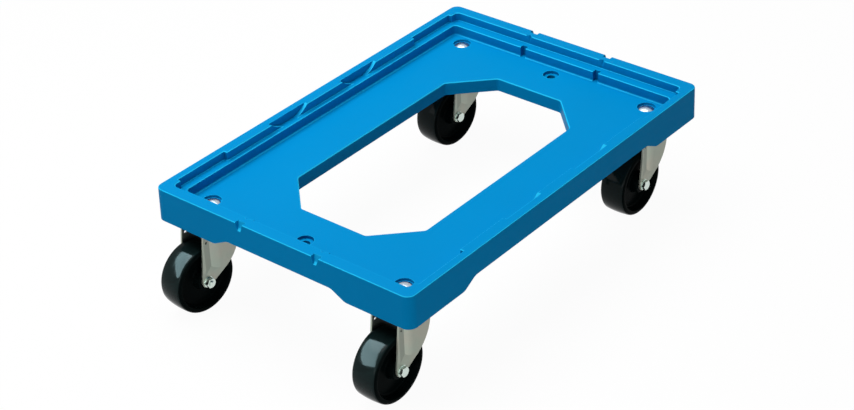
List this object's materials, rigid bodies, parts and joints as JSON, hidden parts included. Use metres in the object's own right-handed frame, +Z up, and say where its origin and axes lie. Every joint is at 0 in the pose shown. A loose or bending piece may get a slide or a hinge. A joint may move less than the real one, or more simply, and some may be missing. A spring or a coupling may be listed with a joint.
{
  "type": "platform dolly",
  "caption": "Low transport dolly: a moulded plastic tray with a stepped rim and a large octagonal opening, on swivel castors with recessed hard wheels.",
  "frame": {"origin": "middle of the deck's top face, half-way between the two deck holes", "axes": "+X along the long side towards the rear end, +Y towards the left side, +Z up"},
  "size_m": [0.6872, 0.44, 0.18],
  "materials": {
    "blue_plastic": "satin",
    "black_plastic": "gloss",
    "zinc_steel": "satin",
    "bright_zinc": "bright",
    "bearing_steel": "bright"
  },
  "bodies": {
    "platform": {"platform": "blue_plastic", "front_right_king_bolt": "bright_zinc", "front_right_king_nut": "zinc_steel", "front_right_king_sleeve": "bearing_steel", "front_right_top_race": "zinc_steel", "front_right_bottom_race": "zinc_steel", "front_right_lower_balls": "bearing_steel", "front_left_king_bolt": "bright_zinc", "front_left_king_nut": "zinc_steel", "front_left_king_sleeve": "bearing_steel", "front_left_top_race": "zinc_steel", "front_left_bottom_race": "zinc_steel", "front_left_lower_balls": "bearing_steel", "rear_right_king_bolt": "bright_zinc", "rear_right_king_nut": "zinc_steel", "rear_right_king_sleeve": "bearing_steel", "rear_right_top_race": "zinc_steel", "rear_right_bottom_race": "zinc_steel", "rear_right_lower_balls": "bearing_steel", "rear_left_king_bolt": "bright_zinc", "rear_left_king_nut": "zinc_steel", "rear_left_king_sleeve": "bearing_steel", "rear_left_top_race": "zinc_steel", "rear_left_bottom_race": "zinc_steel", "rear_left_lower_balls": "bearing_steel"},
    "front_right_castor": {"front_right_fork": "zinc_steel", "front_right_upper_balls": "bearing_steel", "front_right_axle_sleeve": "bearing_steel", "front_right_axle_bolt": "bright_zinc", "front_right_axle_nut": "bright_zinc", "front_right_axle_washers": "bright_zinc"},
    "front_right_roller": {"front_right_wheel": "black_plastic"},
    "front_left_castor": {"front_left_fork": "zinc_steel", "front_left_upper_balls": "bearing_steel", "front_left_axle_sleeve": "bearing_steel", "front_left_axle_bolt": "bright_zinc", "front_left_axle_nut": "bright_zinc", "front_left_axle_washers": "bright_zinc"},
    "front_left_roller": {"front_left_wheel": "black_plastic"},
    "rear_right_castor": {"rear_right_fork": "zinc_steel", "rear_right_upper_balls": "bearing_steel", "rear_right_axle_sleeve": "bearing_steel", "rear_right_axle_bolt": "bright_zinc", "rear_right_axle_nut": "bright_zinc", "rear_right_axle_washers": "bright_zinc"},
    "rear_right_roller": {"rear_right_wheel": "black_plastic"},
    "rear_left_castor": {"rear_left_fork": "zinc_steel", "rear_left_upper_balls": "bearing_steel", "rear_left_axle_sleeve": "bearing_steel", "rear_left_axle_bolt": "bright_zinc", "rear_left_axle_nut": "bright_zinc", "rear_left_axle_washers": "bright_zinc"},
    "rear_left_roller": {"rear_left_wheel": "black_plastic"}
  },
  "joints": [
    {"name": "front_right_swivel", "type": "hinge", "parent": "platform", "child": "front_right_castor", "pos_m": [-0.2725, -0.1665, -0.03], "axis": [0, 0, 1], "continuous": true},
    {"name": "front_right_roll", "type": "hinge", "parent": "front_right_castor", "child": "front_right_roller", "pos_m": [-0.311, -0.16623, -0.1015], "axis": [0.007, 1, 0], "continuous": true},
    {"name": "front_left_swivel", "type": "hinge", "parent": "platform", "child": "front_left_castor", "pos_m": [-0.2725, 0.1665, -0.03], "axis": [0, 0, 1], "continuous": true},
    {"name": "front_left_roll", "type": "hinge", "parent": "front_left_castor", "child": "front_left_roller", "pos_m": [-0.31084, 0.16999, -0.1015], "axis": [0.0906, 0.9959, 0], "continuous": true},
    {"name": "rear_right_swivel", "type": "hinge", "parent": "platform", "child": "rear_right_castor", "pos_m": [0.2725, -0.1665, -0.03], "axis": [0, 0, 1], "continuous": true},
    {"name": "rear_right_roll", "type": "hinge", "parent": "rear_right_castor", "child": "rear_right_roller", "pos_m": [0.234, -0.16704, -0.1015], "axis": [-0.014, 0.9999, 0], "continuous": true},
    {"name": "rear_left_swivel", "type": "hinge", "parent": "platform", "child": "rear_left_castor", "pos_m": [0.2725, 0.1665, -0.03], "axis": [0, 0, 1], "continuous": true},
    {"name": "rear_left_roll", "type": "hinge", "parent": "rear_left_castor", "child": "rear_left_roller", "pos_m": [0.23408, 0.16892, -0.1015], "axis": [0.0628, 0.998, 0], "continuous": true}
  ]
}
